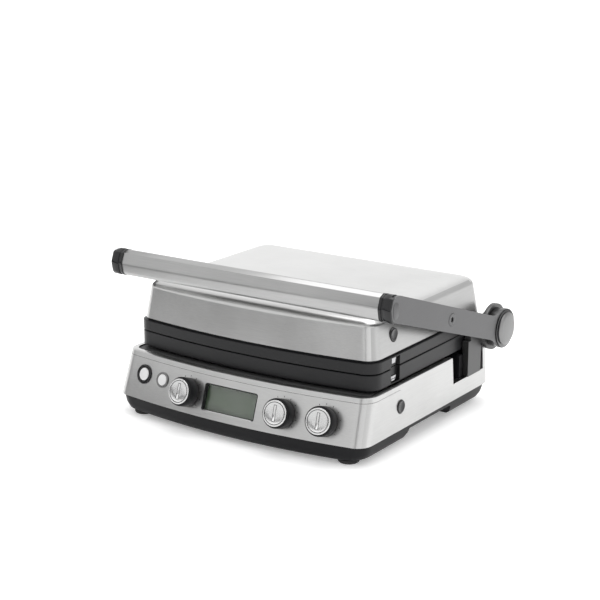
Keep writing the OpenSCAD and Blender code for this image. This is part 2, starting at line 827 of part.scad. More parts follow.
module arm() {
  color([0.5, 0.5, 0.5]) difference() {
    union() {
      translate([arm_in, 0, 0]) rotate([90, 0, 90]) linear_extrude(arm_thick) arm_outline();
      along_x(drum_in, hub_y, hub_z) cylinder(r = hub_r - 0.7, h = arm_in - drum_in + 1);
    }
    along_x(drum_in - 1, hub_y, hub_z) cylinder(r = axle_r + running, h = 60);
    along_x(arm_in - 2, pivot_y, pivot_z) cylinder(r = 5 + running, h = 10);
    along_x(arm_out - 1.6, pivot_y, pivot_z) cylinder(r = 8.2, h = 4);
    along_x(arm_in - 1, bar_y - 0.7, bar_z - 1.5) cylinder(r = 3.2, h = 10);
    translate([arm_out - 1.2, 0, 0]) rotate([90, 0, 90]) linear_extrude(4) plug_oval(6.1);
  }
}

module arm_left() {
  in_frame() mirrored(-1) arm();
}

module arm_right() {
  in_frame() mirrored(1) arm();
}

module hub_rings() {
  color([0.04, 0.04, 0.04]) in_frame() for (s = [-1, 1]) mirrored(s)
    along_x(arm_out, hub_y, hub_z) difference() {
      cylinder(r = hub_r - 0.6, h = 1.2);
      translate([0, 0, -1]) cylinder(r = axle_r + 1, h = 8);
    }
}

module hub_cap() {
  rim = hub_r - 4.6;
  rise = cap_out - arm_out - 1.2;
  color([0.78, 0.78, 0.78]) along_x(arm_out + 1.2, hub_y, hub_z) {
    cylinder(r = rim, h = rise * 0.5);
    translate([0, 0, rise * 0.5]) cylinder(r1 = rim, r2 = rim - 1.6, h = rise * 0.3);
    translate([0, 0, rise * 0.8]) cylinder(r1 = rim - 1.6, r2 = rim - 5, h = rise * 0.2);
  }
}

module hub_cap_left() {
  in_frame() mirrored(-1) hub_cap();
}

module hub_cap_right() {
  in_frame() mirrored(1) hub_cap();
}

// section of the handle bar: full front with a crease along its top
module bar_shape() {
  w = bar_depth / 2;
  h = bar_height / 2;
  hull() {
    translate([-w + 5.4, h - 4]) circle(r = 1.2, $fn = 16);
    translate([-w + 10, 0]) circle(r = 10, $fn = 48);
    translate([-w + 9.8, -h + 8.4]) circle(r = 8.2, $fn = 48);
    translate([1, h - 6]) circle(r = 6, $fn = 48);
    translate([w - 8, h - 9]) circle(r = 8, $fn = 48);
    translate([w - 8, -h + 9]) circle(r = 8, $fn = 48);
  }
}

module bar_piece(x0, len) {
  translate([x0, bar_y, bar_z]) rotate([90, 0, 90]) linear_extrude(len) children();
}

module handle_bar() {
  reach = arm_out - collar_length - 0.05;
  color([0.72, 0.72, 0.71]) in_frame() difference() {
    bar_piece(-reach, 2 * reach) bar_shape();
    bar_piece(-reach - 1, 2 * reach + 2) offset(delta = -2.2) bar_shape();
  }
}

// collar with a groove and a lip that wraps the front of the arm
module collar() {
  w = bar_depth / 2;
  color([0.05, 0.05, 0.05]) difference() {
    union() {
      bar_piece(arm_out - collar_length, collar_length - 0.3) offset(delta = 0.5) bar_shape();
      bar_piece(arm_out - collar_length - 12, 14) offset(delta = -2.3) bar_shape();
    }
    bar_piece(arm_out - 14, 3.1) difference() {
      offset(delta = 2) bar_shape();
      offset(delta = -0.5) bar_shape();
    }
    translate([arm_in - 0.06, 0, 0]) rotate([90, 0, 90]) linear_extrude(10)
      offset(delta = 0.06) arm_outline();
    translate([arm_in - 0.06, bar_y - w + 8, bar_z - 40]) cube([10, 60, 80]);
    along_x(arm_in - 12, bar_y - 0.7, bar_z - 1.5) cylinder(r = 3, h = 14);
  }
}

module collar_left() {
  in_frame() mirrored(-1) collar();
}

module collar_right() {
  in_frame() mirrored(1) collar();
}

module screw_plugs() {
  color([0.4, 0.4, 0.4]) in_frame() for (s = [-1, 1]) mirrored(s) {
    translate([arm_out - 1.2, 0, 0]) rotate([90, 0, 90]) linear_extrude(1.6) plug_oval(6);
    along_x(arm_in - 11, bar_y - 0.7, bar_z - 1.5) cylinder(r = 2.98, h = arm_thick + 10.2);
  }
}

// --------------------------------------------------------------- lid

module pivot_screws() {
  color([0.55, 0.55, 0.56]) in_frame() for (s = [-1, 1]) mirrored(s) difference() {
    union() {
      along_x(arm_out - 1.5, pivot_y, pivot_z) cylinder(r = 7.9, h = 2);
      along_x(arm_in - 0.5, pivot_y, pivot_z) cylinder(r = 5, h = arm_thick);
      along_x(arm_in - 22, pivot_y, pivot_z) cylinder(r = 3, h = 23);
    }
    along_x(arm_out - 0.7, pivot_y, pivot_z) cylinder(r = 3, h = 4);
  }
}

function lid_stack() = [
  [0, 0], [0.9, lid_lean * 0.05], [lid_height - 10, lid_lean],
  [lid_height - 6.2, lid_lean + lid_shoulder * 0.09],
  [lid_height - 3.4, lid_lean + lid_shoulder * 0.25],
  [lid_height - 1.5, lid_lean + lid_shoulder * 0.5],
  [lid_height - 0.4, lid_lean + lid_shoulder * 0.82],
  [lid_height, lid_lean + lid_shoulder * 1.15]
];

module lid_cover() {
  color([0.76, 0.76, 0.75]) in_frame() difference() {
    loft([for (p = lid_stack()) lid_ring(lid_z + p[0], p[1])]);
    loft([for (p = lid_stack()) lid_ring(lid_z + p[0] - sheet - (p[0] == 0 ? 1 : 0), p[1] + sheet)]);
    along_x(-lid_half - 5, pivot_y, pivot_z) cylinder(r = 8.3, h = 2 * lid_half + 10);
    along_x(lid_half - 20, release_y + 1.8, lid_z + 21.5) cylinder(d = release_d, h = 30);
  }
}

module lid_frame() {
  reach = lid_half - lid_lean - 6;
  color([0.4, 0.4, 0.42]) in_frame() {
    difference() {
      union() {
        translate([-reach, pivot_y - 20, lid_z + 12]) cube([2 * reach, 40, 2.5]);
        for (s = [-1, 1]) mirrored(s) {
          // cheek, up to just below the rounded shoulder of the cover
          translate([reach - 2.5, pivot_y - 14, lid_z + 6]) cube([2.5, 28, lid_height - 17.05]);
          along_x(reach - 2, pivot_y, pivot_z) cylinder(r = 8, h = arm_in - reach + 1.5 - slide_gap);
          translate([reach - 30, pivot_y - 3, lid_z + 14])
            rotate([90, 0, 0]) translate([0, 0, -6]) linear_extrude(3)
              polygon([[0, 0], [28, 0], [28, pivot_z - lid_z - 20]]);
        }
      }
      for (s = [-1, 1]) mirrored(s)
        along_x(reach - 4, pivot_y, pivot_z) cylinder(r = 3.02, h = 80);
    }
    for (x = [-90, 90]) {
      for (y = [pivot_y - 12, pivot_y + 12]) {
        translate([x, y, lid_z + 3.03]) cylinder(r = 3, h = 10);
      }
    }
  }
}

module upper_carrier() {
  color([0.09, 0.09, 0.1]) in_frame() difference() {
    union() {
      loft([carrier_ring(upper_z, 0.8), carrier_ring(upper_z + 0.8, 0),
        carrier_ring(lid_z - 3, 0), carrier_ring(lid_z - 2.2, 4.5), carrier_ring(lid_z - 0.1, 4.5)]);
      loft([carrier_ring(lid_z - 1, 7), carrier_ring(lid_z + 3, 7.4)]);
    }
    loft([carrier_ring(upper_z - 1, 5), carrier_ring(lid_z - 2, 5)]);
    loft([carrier_ring(lid_z - 3, 16), carrier_ring(lid_z + 0.6, 16)]);
    // catch recess in the right side
    translate([carrier_half - 4, release_y - 12, upper_z - 1]) cube([6, 20, upper_skirt - 3]);
  }
}

module upper_plate() {
  roof_z = upper_z + 5.5;
  color([0.13, 0.13, 0.13]) in_frame() {
    difference() {
      loft([carrier_ring(upper_z + 0.3, 5.4), carrier_ring(upper_z + 8, 5.4),
        carrier_ring(upper_z + 11, 8)]);
      loft([carrier_ring(upper_z - 1, 11), carrier_ring(roof_z, 14)]);
    }
    ridges(roof_z + 0.5, ridge_height + 0.5, -1);
  }
}

module upper_element() {
  color([0.3, 0.29, 0.28]) in_frame() element_loop(upper_z + 11 + 2.45);
}

module upper_reflector() {
  z = lid_z + 0.1;
  color([0.7, 0.7, 0.7]) in_frame() difference() {
    loft([carrier_ring(z, 17), carrier_ring(z + 0.45, 17)]);
    translate([-20, carrier_front + 60, z - 1]) cube([40, 20, 5]);
  }
}

module upper_catch() {
  color([0.75, 0.75, 0.75]) in_frame() {
    translate([carrier_half - 3.98, release_y - 9, upper_z + 5]) cube([1.5, 12, 7]);
    translate([carrier_half - 2.6, release_y - 9, upper_z + 5]) cube([1.6, 8, 7]);
  }
}

module lid_release_button() {
  y = release_y + 1.8;
  z = lid_z + 21.5;
  face = lid_half - lid_lean * (z - lid_z) / (lid_height - 10);
  color([0.06, 0.06, 0.06]) in_frame() {
    along_x(face - 9, y, z) cylinder(d = release_d - 2 * button_gap, h = 9.6);
    along_x(face + 0.6, y, z) cylinder(d1 = release_d - 2 * button_gap, d2 = release_d - 4, h = 0.9);
    along_x(face - 16, y, z) cylinder(r = 3.5, h = 8);
  }
}

base_tray();
feet();
tray_screws();
base_housing();
deck();
cord_gland();
power_board();
control_carrier();
control_board();
encoders();
button_switches();
display_bezel();
display_window();
display_module();
power_ring();
power_button();
start_ring();
start_button();
dial_1();
dial_1_face();
dial_2();
dial_2_face();
dial_3();
dial_3_face();
lower_carrier();
lower_plate();
lower_element();
lower_reflector();
lower_catch();
base_release_button();
base_release_latch();
hinge_guide_left();
hinge_guide_right();
hinge_plates();
hinge_block_left();
hinge_block_right();
hinge_tie_bar();
arm_left();
arm_right();
hub_rings();
hub_cap_left();
hub_cap_right();
handle_bar();
collar_left();
collar_right();
screw_plugs();
pivot_screws();
lid_cover();
lid_frame();
upper_carrier();
upper_plate();
upper_element();
upper_reflector();
upper_catch();
lid_release_button();
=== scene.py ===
# %% [markdown]
# # A contact grill, dressed for its portrait
# The CAD model is the skeleton: every sub-part already has its true size and place. In this
# notebook we load that skeleton, put a camera and soft lights round it, and then give each piece
# the finish of the real thing: brushed steel, moulded plastic, rubber, enamel and glass.
# Anything whose surface has to be smoother or richer than the CAD solid is rebuilt here.

# %% Load the frame
import json
import math

import bmesh
import bpy
from mathutils import Matrix, Vector, kdtree


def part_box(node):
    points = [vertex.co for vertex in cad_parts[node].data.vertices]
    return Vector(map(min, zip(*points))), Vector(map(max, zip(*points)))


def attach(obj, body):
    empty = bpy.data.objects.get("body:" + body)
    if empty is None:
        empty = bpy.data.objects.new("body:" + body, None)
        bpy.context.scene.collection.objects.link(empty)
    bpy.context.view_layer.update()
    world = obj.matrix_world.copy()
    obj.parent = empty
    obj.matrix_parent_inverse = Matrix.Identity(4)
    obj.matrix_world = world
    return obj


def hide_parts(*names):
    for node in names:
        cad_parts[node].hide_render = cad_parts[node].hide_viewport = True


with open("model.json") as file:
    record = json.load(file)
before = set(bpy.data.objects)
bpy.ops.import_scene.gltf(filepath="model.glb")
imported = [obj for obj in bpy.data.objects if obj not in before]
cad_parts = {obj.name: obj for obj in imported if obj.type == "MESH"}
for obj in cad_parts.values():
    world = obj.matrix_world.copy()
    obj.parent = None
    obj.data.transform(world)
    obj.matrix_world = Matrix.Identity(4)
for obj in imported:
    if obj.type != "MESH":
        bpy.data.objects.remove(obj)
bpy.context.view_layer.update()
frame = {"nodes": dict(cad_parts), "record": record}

nodes = frame["nodes"]
bodies = frame["record"]["behaviour"]["bodies"]
body_of_node = {node: body for body, held in bodies.items() for node in held}
scene = bpy.context.scene
MM = 0.001


# %% [markdown]
# ## Camera
# A long lens from a little above and well to the right, as a catalogue shows such a machine. The
# place is worked out from the object itself: the front corners of the housing and the seam above
# its tray are the anchors, and every other distance is counted from them in metres.

# %% Camera
house_low, house_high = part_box("base_housing")
tray_low, tray_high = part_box("base_tray")
seam = tray_high.z
front_line = house_high.y - 0.3135
azimuth, elevation = math.radians(34.2528), math.radians(15.4484)
towards = Vector((math.sin(azimuth) * math.cos(elevation),
                  -math.cos(azimuth) * math.cos(elevation), math.sin(elevation)))
aim = Vector((0.02936, front_line + 0.09768, seam + 0.13238))
camera = bpy.data.objects.new("camera", bpy.data.cameras.new("camera"))
scene.collection.objects.link(camera)
camera.location = aim + towards * 1.90685
camera.rotation_euler = (-towards).to_track_quat("-Z", "Y").to_euler()
camera.data.sensor_width = 36
camera.data.lens = 1552.78 * 36 / 600
camera.data.clip_start = 0.05
scene.camera = camera
print("camera at", [round(v, 3) for v in camera.location])


# %% [markdown]
# ## Finishes
# A real finish is never one flat colour: brushed steel has fine lines, moulded plastic has a skin.
# A picture could be wrapped round the piece, but noise nodes hold at any distance. One recipe
# serves every finish. A fine noise, stretched along the grain where the surface is brushed, moves
# the colour, the roughness and a small bump; a second, broad noise adds the uneven sheen of
# handling. Both read the object's own coordinates, so nothing slides when a piece moves.

# %% The recipe
def node_material(name):
    made = bpy.data.materials.new(name)
    made.use_nodes = True
    made.node_tree.nodes.clear()
    return made, made.node_tree.nodes, made.node_tree.links


def noise_field(tree, links, scale, stretch, detail):
    place = tree.new("ShaderNodeTexCoord")
    turn = tree.new("ShaderNodeMapping")
    turn.inputs["Scale"].default_value = stretch
    noise = tree.new("ShaderNodeTexNoise")
    noise.inputs["Scale"].default_value = scale
    noise.inputs["Detail"].default_value = detail
    noise.inputs["Roughness"].default_value = 0.6
    links.new(place.outputs["Object"], turn.inputs["Vector"])
    links.new(turn.outputs[0], noise.inputs["Vector"])
    return noise.outputs["Fac"]


def spread(tree, links, value, low, high):
    step = tree.new("ShaderNodeMapRange")
    step.inputs["From Min"].default_value = 0.25
    step.inputs["From Max"].default_value = 0.75
    step.inputs["To Min"].default_value = low
    step.inputs["To Max"].default_value = high
    links.new(value, step.inputs["Value"])
    return step.outputs[0]


def finish_of(name, tone, rough, metal=0.0, scale=900, stretch=(1, 1, 1), bump=0.1,
              swing=0.08, wear=0.05, coat=0.0, depth=0.00003, glow=0.0, gleam=0.5):
    """tone is the colour, swing the spread of the grain, wear the spread of the broad noise;
    gleam is the strength of the mirror-like part on a plastic, and depth is in metres."""
    made, tree, links = node_material(name)
    out = tree.new("ShaderNodeOutputMaterial")
    body = tree.new("ShaderNodeBsdfPrincipled")
    body.inputs["Metallic"].default_value = metal
    body.inputs["Coat Weight"].default_value = coat
    body.inputs["Coat Roughness"].default_value = 0.12
    body.inputs["Specular IOR Level"].default_value = gleam
    grain = noise_field(tree, links, scale, stretch, 4)
    broad = noise_field(tree, links, 14, (1, 1, 1), 3)
    total = tree.new("ShaderNodeMath")
    total.operation = "ADD"
    links.new(spread(tree, links, grain, -swing, swing), total.inputs[0])
    links.new(spread(tree, links, broad, -wear, wear), total.inputs[1])
    sheen = tree.new("ShaderNodeMath")
    sheen.operation = "MULTIPLY_ADD"
    sheen.inputs[1].default_value = rough
    sheen.inputs[2].default_value = rough
    links.new(total.outputs[0], sheen.inputs[0])
    links.new(sheen.outputs[0], body.inputs["Roughness"])
    tint = tree.new("ShaderNodeMath")
    tint.operation = "ADD"
    tint.inputs[1].default_value = 1.0
    links.new(total.outputs[0], tint.inputs[0])
    paint = tree.new("ShaderNodeVectorMath")
    paint.operation = "SCALE"
    paint.inputs[0].default_value = tone
    links.new(tint.outputs[0], paint.inputs["Scale"])
    links.new(paint.outputs[0], body.inputs["Base Color"])
    rise = tree.new("ShaderNodeBump")
    rise.inputs["Strength"].default_value = bump
    rise.inputs["Distance"].default_value = depth
    links.new(grain, rise.inputs["Height"])
    links.new(rise.outputs[0], body.inputs["Normal"])
    if glow:
        body.inputs["Emission Strength"].default_value = glow
        links.new(paint.outputs[0], body.inputs["Emission Color"])
    links.new(body.outputs[0], out.inputs["Surface"])
    return made


GRAIN_X = (0.02, 1, 1)
GRAIN_Y = (1, 0.02, 1)
steel = finish_of("steel_grain_across", (0.57, 0.57, 0.566), 0.30, 1.0, 1400, GRAIN_X, 0.25,
                  0.07, 0.05)
# The next two finishes repeat the front steel with the grain running along it and a darker tone. The
# darker tone is painted shade on the sides of the housing and of the lid.
steel_side_painted_shade = finish_of("steel_grain_along_painted_shade", (0.52, 0.52, 0.516), 0.30, 1.0, 1400, GRAIN_Y, 0.25,
                       0.07, 0.05)
lid_side_painted_shade = finish_of("lid_grain_along_painted_shade", (0.42, 0.42, 0.418), 0.32, 1.0, 1400, GRAIN_Y, 0.25, 0.07,
                     0.05)
bar_metal = finish_of("bar_grain", (0.40, 0.40, 0.398), 0.33, 1.0, 1500, GRAIN_X, 0.3, 0.08, 0.05)
arm_metal = finish_of("arm_grain", (0.12, 0.12, 0.122), 0.36, 1.0, 1500, GRAIN_Y, 0.25, 0.08,
                      0.06)
cap_metal = finish_of("cap_grain", (0.22, 0.22, 0.22), 0.34, 1.0, 1500, (1, 1, 0.03), 0.25)
bolt_metal = finish_of("bolt_steel", (0.45, 0.45, 0.46), 0.28, 1.0, 900, (1, 1, 1), 0.15)
chrome = finish_of("dial_chrome", (0.68, 0.68, 0.68), 0.26, 1.0, 1200, (1, 1, 1), 0.08, 0.05)
foil = finish_of("reflector_foil", (0.72, 0.72, 0.73), 0.22, 1.0, 120, (1, 1, 1), 0.5, 0.06,
                 0.1, depth=0.0003)
black = finish_of("black_moulding", (0.008, 0.008, 0.009), 0.42, 0, 2600, (1, 1, 1), 0.35, 0.12,
                  0.12, depth=0.00006, gleam=0.15)
gloss = finish_of("black_gloss", (0.008, 0.008, 0.009), 0.20, 0, 1800, (1, 1, 1), 0.08, 0.08,
                  0.1, coat=0.15, gleam=0.35)
skirt = finish_of("skirt_black", (0.009, 0.009, 0.010), 0.36, 0, 2200, (1, 1, 1), 0.3, 0.1, 0.1,
                  depth=0.00005, gleam=0.3)
rubber = finish_of("foot_rubber", (0.02, 0.02, 0.02), 0.8, 0, 1600, (1, 1, 1), 0.5, 0.15, 0.1,
                   depth=0.00008)
coated = finish_of("plate_coating", (0.022, 0.022, 0.023), 0.34, 0.1, 1500, (1, 1, 1), 0.3, 0.2,
                   0.12, depth=0.00006)
inner = finish_of("inner_moulding", (0.03, 0.03, 0.032), 0.55, 0, 1500, (1, 1, 1), 0.25, 0.1)
cast = finish_of("cast_grey", (0.11, 0.11, 0.11), 0.42, 1.0, 1200, (1, 1, 1), 0.4, 0.1, 0.1,
                 depth=0.00008)
deck_black = finish_of("deck_black", (0.055, 0.055, 0.056), 0.5, 0, 2000, (1, 1, 1), 0.3, 0.1)
board = finish_of("board_green", (0.03, 0.16, 0.06), 0.45, 0, 700, (1, 1, 1), 0.2, 0.2, 0.1)
heater = finish_of("heater_steel", (0.12, 0.10, 0.09), 0.5, 1.0, 700, (1, 1, 1), 0.3, 0.25, 0.2)
white = finish_of("button_white", (0.72, 0.72, 0.72), 0.22, 0, 1800, (1, 1, 1), 0.05, 0.03, 0.03,
                  coat=0.3)
print(len(bpy.data.materials), "finishes")


# %% [markdown]
# The display has two finishes of its own: a thin clear window, and the grey-green liquid crystal
# behind it, which shows a faint raster.

# %% Window and display
def clear_window():
    made, tree, links = node_material("window_clear")
    out = tree.new("ShaderNodeOutputMaterial")
    mix = tree.new("ShaderNodeMixShader")
    see = tree.new("ShaderNodeBsdfTransparent")
    shine = tree.new("ShaderNodeBsdfGlossy")
    smear = noise_field(tree, links, 60, (1, 1, 1), 3)
    links.new(spread(tree, links, smear, 0.03, 0.09), shine.inputs["Roughness"])
    links.new(spread(tree, links, smear, 0.05, 0.08), mix.inputs["Fac"])
    links.new(see.outputs[0], mix.inputs[1])
    links.new(shine.outputs[0], mix.inputs[2])
    links.new(mix.outputs[0], out.inputs["Surface"])
    return made


window = clear_window()
crystal = finish_of("display_crystal", (0.040, 0.070, 0.034), 0.45, 0, 2400, (1, 0.4, 0.4), 0.1,
                    0.05, 0.06)
print("window and display")


# %% [markdown]
# ## Tools for building pieces
# Every piece ends as a plain mesh at the origin that rides on the body of the CAD node it stands
# for. `keep` puts it there, `settle` applies its modifiers, and `soften` rounds its sharp edges
# with a small bevel and shades it smoothly.

# %% Place a finished piece
def keep(obj, *names, body=None):
    first = names[0] if names else None
    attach(obj, body or body_of_node[first])
    if names:
        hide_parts(*names)
    return obj


def from_mesh(name, mesh, *paints):
    obj = bpy.data.objects.new(name, mesh)
    scene.collection.objects.link(obj)
    mesh.materials.clear()
    for paint in paints:
        mesh.materials.append(paint)
    return obj


def settle(obj):
    """The object with its modifiers applied, as a plain mesh of the same name."""
    held = obj.evaluated_get(bpy.context.evaluated_depsgraph_get())
    mesh = bpy.data.meshes.new_from_object(held)
    name, old = obj.name, obj.data
    obj.modifiers.clear()
    obj.data = mesh
    mesh.name = name
    if old.users == 0:
        bpy.data.meshes.remove(old)
    return obj


def soften(obj, width, angle=32, steps=2):
    """A small bevel on sharp edges, then normals that follow the large faces."""
    for face in obj.data.polygons:
        face.use_smooth = True
    if width:
        edge = obj.modifiers.new("edge", "BEVEL")
        edge.width = width * MM
        edge.segments = steps
        edge.limit_method = "ANGLE"
        edge.angle_limit = math.radians(angle)
        edge.use_clamp_overlap = True
        edge.harden_normals = True
    settle(obj)
    obj.data.set_sharp_from_angle(angle=math.radians(50 if width else angle))
    return obj


# %% [markdown]
# ## Clean a CAD solid
# A CAD solid arrives as loose triangles. They could be drawn as they are, but then every edge is
# razor sharp. We merge the points, join triangles that lie in one plane, and break the edges.

# %% Clean a CAD solid
def cad_mesh(node, flat=0.6):
    mesh = bpy.data.meshes.new(node + "_dressed")
    work = bmesh.new()
    work.from_mesh(nodes[node].data)
    bmesh.ops.remove_doubles(work, verts=work.verts, dist=0.000002)
    bmesh.ops.dissolve_limit(work, angle_limit=math.radians(flat), verts=work.verts,
                             edges=work.edges)
    bmesh.ops.recalc_face_normals(work, faces=work.faces)
    work.to_mesh(mesh)
    work.free()
    return mesh


def dress(node, paint, width=0.3, side=None, guide=None):
    obj = from_mesh(node + "_finish", cad_mesh(node), paint)
    soften(obj, width)
    if guide:
        follow(obj, guide)
    # Faces turned to the side take the second finish. For the steel shells this is a darker copy of
    # the steel: painted shade on the sides.
    if side:
        obj.data.materials.append(side)
        for face in obj.data.polygons:
            if abs(face.normal.x) > 0.72:
                face.material_index = 1
    return keep(obj, node)


print("tools: keep, settle, soften, dress")


# %% [markdown]
# ## Smooth walls
# Pressed steel stays smooth round a cut-out, but a mesh shades a dent beside each hole, because its
# points take an average of the faces that meet there. A denser mesh would help and be heavy.
# Instead we work out the true direction of the wall from its plan and hand it to each corner.

# %% Smooth walls
def outline(half, front, rear, radius, bow, arch=60, corner=14, straight=48):
    """Plan of a shell in mm from its front corners: bowed front, rounded corners, straight sides."""
    c = half - radius
    start = front - bow * (1 - (c / half) ** 2)
    points = []
    for i in range(arch):
        x = -c + 2 * c * i / arch
        points.append((x, front - bow * (1 - (x / half) ** 2)))
    near, far = start + radius, rear - radius
    for middle, first, ends in (((c, near), -90, ((half, near), (half, far))),
                                ((c, far), 0, ((c, rear), (-c, rear))),
                                ((-c, far), 90, ((-half, far), (-half, near))),
                                ((-c, near), 180, None)):
        for j in range(corner):
            turn = math.radians(first + 90 * j / corner)
            points.append((middle[0] + radius * math.cos(turn),
                           middle[1] + radius * math.sin(turn)))
        if ends:
            (x0, y0), (x1, y1) = ends
            for j in range(straight):
                share = j / straight
                points.append((x0 + (x1 - x0) * share, y0 + (y1 - y0) * share))
    return points


def wall_guide(stations):
    """Points and normals over a shell whose plan changes with height; the walls between."""
    rows = [[Vector((x * MM, front_line + y * MM, z)) for x, y in outline(*plan)]
            for z, plan in stations]
    found = []
    for k, row in enumerate(rows):
        below, above = rows[max(k - 1, 0)], rows[min(k + 1, len(rows) - 1)]
        for i, point in enumerate(row):
            along = row[(i + 1) % len(row)] - row[i - 1]
            normal = along.cross(above[i] - below[i]).normalized()
            found.append((point, normal))
    tree = kdtree.KDTree(len(found))
    for i, (point, normal) in enumerate(found):
        tree.insert(point, i)
    tree.balance()
    return tree, found


def levels(low, high, count, plan_at):
    return [(low + (high - low) * k / count, plan_at(k / count)) for k in range(count + 1)]


REACH = 6 * MM
AGREE = 0.93


def follow(obj, guide):
    """Corner normals on the walls come from the guide, so cut-outs leave no dents in the shading."""
    tree, found = guide
    mesh = obj.data
    normals = [corner.vector.copy() for corner in mesh.corner_normals]
    for face in mesh.polygons:
        for loop in face.loop_indices:
            spot = mesh.vertices[mesh.loops[loop].vertex_index].co
            _, which, far = tree.find(spot)
            wanted = found[which][1]
            if far < REACH and face.normal.dot(wanted) > AGREE:
                normals[loop] = wanted
    mesh.normals_split_custom_set(normals)


def hold_planes(obj, least=60.0):
    """Large plane faces keep their own normal right up to their rounded edges."""
    mesh = obj.data
    normals = [corner.vector.copy() for corner in mesh.corner_normals]
    for face in mesh.polygons:
        if face.area > least * MM * MM:
            for loop in face.loop_indices:
                normals[loop] = face.normal.copy()
    mesh.normals_split_custom_set(normals)


print("wall guides reach", REACH / MM, "mm")


# %% [markdown]
# ## Meshes from scratch
# Round pieces such as dials and screws are turned on a lathe: a profile is carried round an axis.
# A cylinder with a bevel would be quicker, but it can't have a dished face or a stepped rim.

# %% A mesh from scratch
def from_points(name, points, faces, paint, smooth=True):
    mesh = bpy.data.meshes.new(name)
    mesh.from_pydata([tuple(p) for p in points], [], faces)
    work = bmesh.new()
    work.from_mesh(mesh)
    bmesh.ops.remove_doubles(work, verts=work.verts, dist=0.000001)
    bmesh.ops.recalc_face_normals(work, faces=work.faces)
    work.to_mesh(mesh)
    work.free()
    obj = from_mesh(name, mesh, paint)
    for face in mesh.polygons:
        face.use_smooth = smooth
    return obj


def lathe(name, profile, paint, place, steps=96, shape=None, sharp=38):
    """profile is (radius, height) in mm from axis to axis; shape(k, angle) may scale a radius."""
    points, rows = [], []
    for k, (radius, height) in enumerate(profile):
        if k and (radius, height) == profile[0]:
            rows.append(rows[0])
            continue
        if radius == 0:
            rows.append([len(points)] * steps)
            points.append(Vector((0, 0, height)) * MM)
            continue
        row = []
        for i in range(steps):
            turn = math.tau * i / steps
            reach = radius * (shape(k, turn) if shape else 1)
            row.append(len(points))
            points.append(Vector((reach * math.cos(turn), reach * math.sin(turn), height)) * MM)
        rows.append(row)
    faces = []
    for low, high in zip(rows, rows[1:]):
        for i in range(steps):
            j = (i + 1) % steps
            corner = [low[i], low[j], high[j], high[i]]
            faces.append(tuple(dict.fromkeys(corner)))
    obj = from_points(name, [place @ p for p in points], faces, paint)
    obj.data.set_sharp_from_angle(angle=math.radians(sharp))
    return obj


print("tools: from_points, lathe")


# %% [markdown]
# ## Places on the panel
# The panel is bowed and leans back, so a dial can't be placed by three plain numbers. The helpers
# give the frame of a spot on the panel, or on a side, with its z axis pointing out of the metal.

# %% Places on the tilted panel
HOUSE_HALF, BOW = 185.0, 17.0
SIDE_IN, FRONT_BACK, REAR, CORNER = 3, 18.8, 313.5, 20
HOUSE_HIGH = (house_high.z - seam) / MM
LEAN = math.atan(FRONT_BACK / HOUSE_HIGH)


def panel_place(x, height):
    slope = 2 * BOW * x / HOUSE_HALF ** 2
    y = FRONT_BACK * height / HOUSE_HIGH - BOW * (1 - (x / HOUSE_HALF) ** 2)
    spot = Vector((x * MM, front_line + y * MM, seam + height * MM))
    turn = Matrix.Rotation(math.atan(slope), 4, "Z") @ Matrix.Rotation(math.pi / 2 - LEAN, 4, "X")
    return Matrix.Translation(spot) @ turn


def side_place(side, x, y, z):
    """A frame on a side of the object, its z axis pointing outwards."""
    turn = Matrix.Rotation(side * math.pi / 2, 4, "Y")
    return Matrix.Translation((side * x, y, z)) @ turn


print("panel leans", round(math.degrees(LEAN), 1), "degrees over", round(HOUSE_HIGH, 1), "mm")


# %% [markdown]
# ## Pieces dressed straight from the CAD solids
# Where the CAD solid already has the right shape, it only needs its finish, rounded edges and
# smooth normals. The bevel of each piece is its real edge break in millimetres.

# %% Housing, tray and feet
def house_plan(part):
    """The housing's plan at this part of its height."""
    return (HOUSE_HALF - SIDE_IN * part, FRONT_BACK * part, REAR, CORNER, BOW)


RIM = 2 * MM
WALL_PART = 0.964
house_guide = wall_guide(levels(seam, house_high.z - RIM, 14,
                                lambda part: house_plan(part * WALL_PART)))
# The housing's sides take a darker copy of the steel: painted shade.
dress("base_housing", steel, 0.35, steel_side_painted_shade, house_guide)
TRAY_RISE = ((0, 12, 7), (3, 7.5, 3.2), (9, 4, 1.8), (20, 1.2, 1))
tray_guide = wall_guide([(tray_low.z + z * MM, (HOUSE_HALF - inset, front, REAR - inset, 24, BOW))
                         for z, inset, front in TRAY_RISE])
dress("base_tray", black, 0.3, None, tray_guide)
dress("feet", rubber, 0.5)
dress("tray_screws", bolt_metal, 0.15)
dress("deck", deck_black, 0.2)
dress("cord_gland", rubber, 0.5)
dress("power_board", board, 0.0)
print("housing and tray dressed")

# %% [markdown]
# The controls sit in the bowed panel. The power ring and the push buttons are glossy mouldings, the
# start ring is metal, and the display stands behind a thin clear window.

# %% Controls behind and on the panel
dress("control_carrier", inner, 0.0)
dress("control_board", board, 0.0)
dress("encoders", bolt_metal, 0.0)
dress("button_switches", inner, 0.1)
dress("display_bezel", gloss, 0.15)
dress("display_window", window, 0.0)
dress("display_module", crystal, 0.1)
dress("power_ring", gloss, 0.25)
dress("start_ring", cap_metal, 0.25)
for piece in ("power_button", "start_button"):
    dress(piece, white, 0.4)
print("controls dressed")

# %% [markdown]
# The two plates are cast and coated, with a heater loop and a bright reflector behind each. The
# black carriers round them are smooth shells, so they take a wall guide as the housing does.

